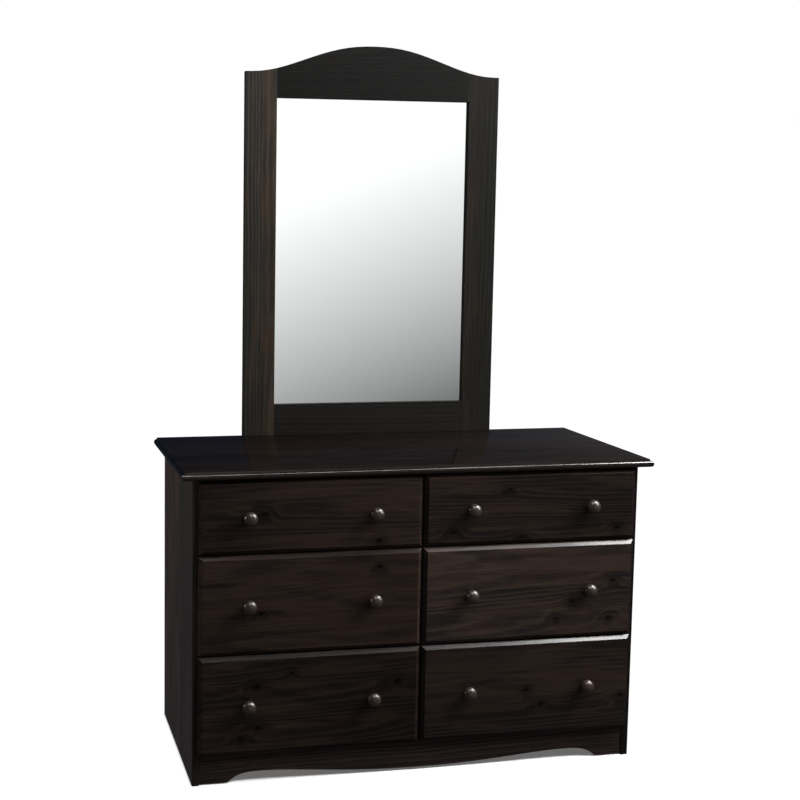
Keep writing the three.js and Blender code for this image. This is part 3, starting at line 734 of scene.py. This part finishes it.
# Fasteners, one head repeated at each place and turned to face the way it was driven from
def fastener_tree(name, crossed):
    """Geometry nodes that put a head at each point of a mesh. A crossed head has a cross recess and
    its own turn."""
    tree = bpy.data.node_groups.new(name, "GeometryNodeTree")
    tree.interface.new_socket("Places", in_out="INPUT", socket_type="NodeSocketGeometry")
    for label in ("Head radius", "Neck radius", "Head height", "Standing out", "Recess width"):
        tree.interface.new_socket(label, in_out="INPUT", socket_type="NodeSocketFloat")
    tree.interface.new_socket("Turn seed", in_out="INPUT", socket_type="NodeSocketInt")
    tree.interface.new_socket("Finish", in_out="INPUT", socket_type="NodeSocketMaterial")
    tree.interface.new_socket("Heads", in_out="OUTPUT", socket_type="NodeSocketGeometry")
    given = add(tree, "NodeGroupInput").node.outputs
    lower = add(
        tree, "ShaderNodeMath", (given["Standing out"], given["Head height"]),
        operation="SUBTRACT")
    head = add(tree, "GeometryNodeMeshCone", {
        "Vertices": 24, "Radius Top": given["Head radius"], "Radius Bottom": given["Neck radius"],
        "Depth": given["Head height"],
    })
    if crossed:
        # Two crossed bars cut the recess: how long and how deep they are, against the head's radius
        # and height
        arm_share, depth_share = 1.2, 0.8
        arm = add(
            tree, "ShaderNodeMath", (given["Head radius"], arm_share), operation="MULTIPLY")
        deep = add(
            tree, "ShaderNodeMath", (given["Head height"], depth_share), operation="MULTIPLY")
        cut = add(tree, "GeometryNodeMeshBoolean", {"Mesh 1": head}, operation="DIFFERENCE")
        for size in ((arm, given["Recess width"], deep), (given["Recess width"], arm, deep)):
            bar = add(tree, "GeometryNodeMeshCube", {
                "Size": add(tree, "ShaderNodeCombineXYZ", size),
            })
            lifted = add(tree, "ShaderNodeCombineXYZ", {"Z": given["Head height"]})
            bar = add(tree, "GeometryNodeTransform", {"Geometry": bar, "Translation": lifted})
            tree.links.new(bar, cut.node.inputs["Mesh 2"])
        head = cut
    seated = add(tree, "ShaderNodeCombineXYZ", {"Z": lower})
    head = add(tree, "GeometryNodeTransform", {"Geometry": head, "Translation": seated})
    facing = add(
        tree, "GeometryNodeInputNamedAttribute", {"Name": "facing"}, data_type="FLOAT_VECTOR")
    turned = add(tree, "FunctionNodeAlignRotationToVector", {"Vector": facing}, axis="Z")
    spin = add(tree, "FunctionNodeRandomValue", {
        "Min": (0, 0, 0), "Max": (0, 0, math.pi), "Seed": given["Turn seed"],
    }, data_type="FLOAT_VECTOR")
    turned = add(tree, "FunctionNodeRotateRotation", (turned, spin), rotation_space="LOCAL")
    heads = add(tree, "GeometryNodeInstanceOnPoints", {
        "Points": given["Places"], "Instance": head, "Rotation": turned,
    })
    heads = add(tree, "GeometryNodeRealizeInstances", (heads,))
    heads = add(tree, "GeometryNodeSetMaterial", {"Geometry": heads, "Material": given["Finish"]})
    add(tree, "NodeGroupOutput", (heads,))
    return tree


def drive(name, body, tree, places, sizes):
    """Puts the tree's heads at the places, pairs of a point and the way it faces, as one plain mesh
    on the body."""
    mesh = bpy.data.meshes.new(name)
    mesh.from_pydata([place for place, _ in places], [], [])
    facing = mesh.attributes.new("facing", "FLOAT_VECTOR", "POINT")
    for spot, (_, way) in zip(facing.data, places):
        spot.vector = way
    heads = bpy.data.objects.new(name, mesh)
    scene.collection.objects.link(heads)
    repeat = heads.modifiers.new(name, "NODES")
    repeat.node_group = tree
    for item in tree.interface.items_tree:
        if item.name in sizes:
            repeat[item.identifier] = sizes[item.name]
    heads.data = plain_mesh(heads)
    heads.modifiers.clear()
    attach(heads, body)


zinc = zinc_plated_steel()
screw_tree, brad_tree = fastener_tree("countersunk_screws", True), fastener_tree("brads", False)
LEFTWARD, RIGHTWARD, REARWARD, DOWNWARD = (-1, 0, 0), ACROSS, DEEP, (0, 0, -1)
screw_sizes = {
    "Head radius": 0.0042, "Neck radius": 0.0026, "Head height": 0.0018, "Standing out": -0.0002,
    "Recess width": 0.001, "Turn seed": 5, "Finish": zinc,
}
brad_sizes = {
    "Head radius": 0.0013, "Neck radius": 0.0015, "Head height": 0.0006, "Standing out": 0.0003,
    "Turn seed": 7, "Finish": zinc,
}
case_body = frame["nodes"]["top_panel"]["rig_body"]
for side in ("left", "right"):
    drive("support_screws_" + side, case_body, screw_tree,
          [(place, REARWARD) for place in support_screws(side)], screw_sizes)


def along_edges(node, inset, across_step, up_step):
    """Places on the node's rear face, the inset in from each edge and about a step apart."""
    low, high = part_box(node)
    width, height = high[0] - low[0] - 2 * inset, high[2] - low[2] - 2 * inset
    columns, rows = round(width / across_step), round(height / up_step)
    spots = {(low[0] + inset + width * i / columns, z) for i in range(columns + 1)
             for z in (low[2] + inset, high[2] - inset)}
    spots |= {(x, low[2] + inset + height * i / rows) for i in range(1, rows)
              for x in (low[0] + inset, high[0] - inset)}
    return [((x, high[1], z), REARWARD) for x, z in sorted(spots)]


def clear_of_supports(place, room=0.005):
    """Whether a brad on the back panel stays clear of the two uprights, which lie mirrored on both
    sides."""
    low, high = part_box("mirror_support_right")
    return not (low[0] - room < abs(place[0]) < high[0] + room and place[2] > low[2] - room)


back_spots = along_edges("back_panel", 0.005, 0.12, 0.11)
back_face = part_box("back_panel")[1][1]
partition_spots = [((0, back_face, z), REARWARD) for z in (0.2, 0.32, 0.44, 0.56, 0.68)]
drive("back_panel_brads", case_body, brad_tree,
      [spot for spot in back_spots + partition_spots if clear_of_supports(spot[0])], brad_sizes)
drive("mirror_backing_brads", case_body, brad_tree,
      along_edges("mirror_backing_board", 0.006, 0.11, 0.12), brad_sizes)

# Brads that hold each drawer's back between its sides, and its bottom under its back
from_end = 0.015
for place in fronts:
    drawer = "drawer_" + place
    low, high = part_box(drawer + "_back")
    deep = (low[1] + high[1]) / 2
    left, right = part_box(drawer + "_side_left")[0][0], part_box(drawer + "_side_right")[1][0]
    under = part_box(drawer + "_bottom")[0][2]
    spots = []
    for height in (low[2] + from_end, (low[2] + high[2]) / 2, high[2] - from_end):
        spots += [((left, deep, height), LEFTWARD), ((right, deep, height), RIGHTWARD)]
    for share in (0.15, 0.5, 0.85):
        spots.append(((low[0] + (high[0] - low[0]) * share, deep, under), DOWNWARD))
    drive(drawer + "_brads", frame["nodes"][drawer + "_back"]["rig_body"], brad_tree, spots, {
        **brad_sizes, "Standing out": 0.00015,
    })


# Floor: matt white paint, lit evenly away from the dresser, so that only the shadow beside it shows
def pale_floor():
    footprint_middle, footprint_half = (0, 0.0155, 0), (0.575, 0.245, 0)
    room_brightness, camera_brightness = 0.45, 1.05
    made, tree = new_material("matt_white_paint")
    place = add(tree, "ShaderNodeTexCoord", out="Object")
    beyond = add(tree, "ShaderNodeVectorMath", (place, footprint_middle), operation="SUBTRACT")
    beyond = add(tree, "ShaderNodeVectorMath", (beyond,), operation="ABSOLUTE")
    beyond = add(tree, "ShaderNodeVectorMath", (beyond, footprint_half), operation="SUBTRACT")
    beyond = add(tree, "ShaderNodeVectorMath", (beyond, (0, 0, 0)), operation="MAXIMUM")
    beyond = add(tree, "ShaderNodeVectorMath", (beyond,), out="Value", operation="LENGTH")
    lit = add(tree, "ShaderNodeMapRange", {
        "Value": beyond, "From Min": 0, "From Max": 0.012, "To Min": 0.12,
    }, interpolation_type="SMOOTHSTEP")
    paint = add(tree, "ShaderNodeBsdfDiffuse", {"Color": (0.8, 0.8, 0.8, 1)})
    seen = add(tree, "ShaderNodeLightPath", out="Is Camera Ray")
    strength = add(tree, "ShaderNodeMapRange", {
        "Value": seen, "To Min": room_brightness, "To Max": camera_brightness,
    })
    glow = add(tree, "ShaderNodeEmission", {"Color": (1, 1, 1, 1), "Strength": strength})
    shader = add(tree, "ShaderNodeMixShader", (lit, paint, glow))
    add(tree, "ShaderNodeOutputMaterial", (shader,))
    shape = bmesh.new()
    bmesh.ops.create_circle(shape, cap_ends=True, segments=96, radius=30)
    mesh = bpy.data.meshes.new("floor")
    shape.to_mesh(mesh)
    shape.free()
    mesh.materials.append(made)
    floor = bpy.data.objects.new("floor", mesh)
    scene.collection.objects.link(floor)
    floor.visible_glossy = False


pale_floor()


# Studio light: the mirror shows the room and the dresser, but none of the lamps
unmirrored = bpy.data.collections.new("not_lit_by_lamps")
unmirrored.objects.link(glass)
unmirrored.collection_objects[0].light_linking.link_state = "EXCLUDE"


def softbox(name, place, aim, width, height, radiance, shiny=True):
    """A soft rectangular lamp that the camera doesn't see itself. One that isn't shiny has no
    reflection either."""
    lamp = bpy.data.lights.new(name, "AREA")
    lamp.shape = "RECTANGLE"
    lamp.size, lamp.size_y = width, height
    # Four watts a square metre make an area lamp one unit bright
    lamp.energy = radiance * 4 * width * height
    holder = bpy.data.objects.new(name, lamp)
    away = Vector(place) - Vector(aim)
    facing = away.to_track_quat("Z", "Y").to_matrix().to_4x4()
    holder.matrix_world = Matrix.Translation(place) @ facing
    scene.collection.objects.link(holder)
    holder.visible_camera = False
    holder.visible_glossy = shiny
    holder.light_linking.receiver_collection = unmirrored


# Each lamp's place and the point it faces, its width and height in metres, and how bright it is.
# The overhead ones draw the bright lines on the drawer fronts' upper bevels
lamps = {
    "overhead_right": ((2.05, -1.0, 2.9), (0.3, -0.25, 0.4), 1.5, 0.6, 52),
    "overhead_middle": ((1.05, -1.0, 2.9), (0.3, -0.25, 0.4), 0.4, 0.6, 6),
    "overhead_left": ((-0.35, -1.05, 2.9), (-0.5, -0.25, 0.3), 0.25, 0.25, 30),
    "left": ((-2.9, -0.1, 1.25), (-0.4, -0.25, 0.6), 0.45, 0.45, 30),
    "right": ((2.4, -1.2, 1.75), (0.2, -0.25, 0.5), 0.7, 0.8, 32),
    "middle": ((0.3, -2.0, 2.9), (0, -0.25, 0.5), 2.2, 0.45, 12),
    "behind": ((-0.5, 3.2, 2.4), (0, 0.3, 0.8), 1.6, 1.2, 7),
}
for name, lamp in lamps.items():
    softbox(name, *lamp, shiny=name != "behind")


def studio_world():
    """White to the camera. To all else, a wall in front on the right that grows lighter upwards,
    and dark elsewhere."""
    dim, bright = 0.1, 1.1
    lightening, level_brightness = (-1.95, 0, 4.76), 1.496
    above_wall = (0.027, 0.031, 0.04, 1)
    back_upper_left, back_upper_right = (0.01, 0.019, 0.034, 1), (0.055, 0.057, 0.062, 1)
    back_lower = (0.026, 0.031, 0.038, 1)
    world = bpy.data.worlds.new("studio")
    world.use_nodes = True
    tree = world.node_tree
    tree.nodes.clear()
    towards = add(tree, "ShaderNodeTexCoord", out="Generated")
    sideways, backward, height = add(tree, "ShaderNodeSeparateXYZ", (towards,)).node.outputs

    # The wall in front, which the mirror shows
    slope = add(
        tree, "ShaderNodeVectorMath", (towards, lightening), out="Value", operation="DOT_PRODUCT")
    lit = add(tree, "ShaderNodeMath", (slope, level_brightness), operation="ADD")
    lit = add(tree, "ShaderNodeClamp", {"Value": lit, "Min": dim, "Max": bright})
    rightward = add(tree, "ShaderNodeMapRange", {
        "Value": sideways, "From Min": -0.05, "From Max": 0.15,
    }, interpolation_type="SMOOTHSTEP")
    lit = add(tree, "ShaderNodeMix", {0: rightward, 2: dim, 3: lit}, out=0, data_type="FLOAT")
    above = add(tree, "ShaderNodeMapRange", {
        "Value": height, "From Min": 0.088, "From Max": 0.11,
    }, interpolation_type="SMOOTHSTEP")
    lit = add(tree, "ShaderNodeMix", {0: above, 6: lit, 7: above_wall}, out=2, data_type="RGBA")

    # The room behind the dresser, which the top and the left side show
    behind = add(tree, "ShaderNodeMapRange", {
        "Value": backward, "From Min": -0.3, "From Max": 0.1,
    }, interpolation_type="SMOOTHSTEP")
    upward = add(tree, "ShaderNodeMapRange", {
        "Value": height, "From Min": -0.1, "From Max": 0.02,
    })
    far_right = add(tree, "ShaderNodeMapRange", {
        "Value": sideways, "From Min": 0.3, "From Max": 0.5,
    })
    upper_wall = add(tree, "ShaderNodeMix", {
        0: far_right, 6: back_upper_left, 7: back_upper_right,
    }, out=2, data_type="RGBA")
    back_wall = add(tree, "ShaderNodeMix", {
        0: upward, 6: back_lower, 7: upper_wall,
    }, out=2, data_type="RGBA")
    wall = add(tree, "ShaderNodeMix", {0: behind, 6: lit, 7: back_wall}, out=2, data_type="RGBA")
    room = add(tree, "ShaderNodeBackground", {"Color": wall, "Strength": 1})
    paper = add(tree, "ShaderNodeBackground", {"Color": (1, 1, 1, 1), "Strength": 1})
    seen = add(tree, "ShaderNodeLightPath", out="Is Camera Ray")
    mixed = add(tree, "ShaderNodeMixShader", (seen, room, paper))
    add(tree, "ShaderNodeOutputWorld", (mixed,))
    scene.world = world


studio_world()
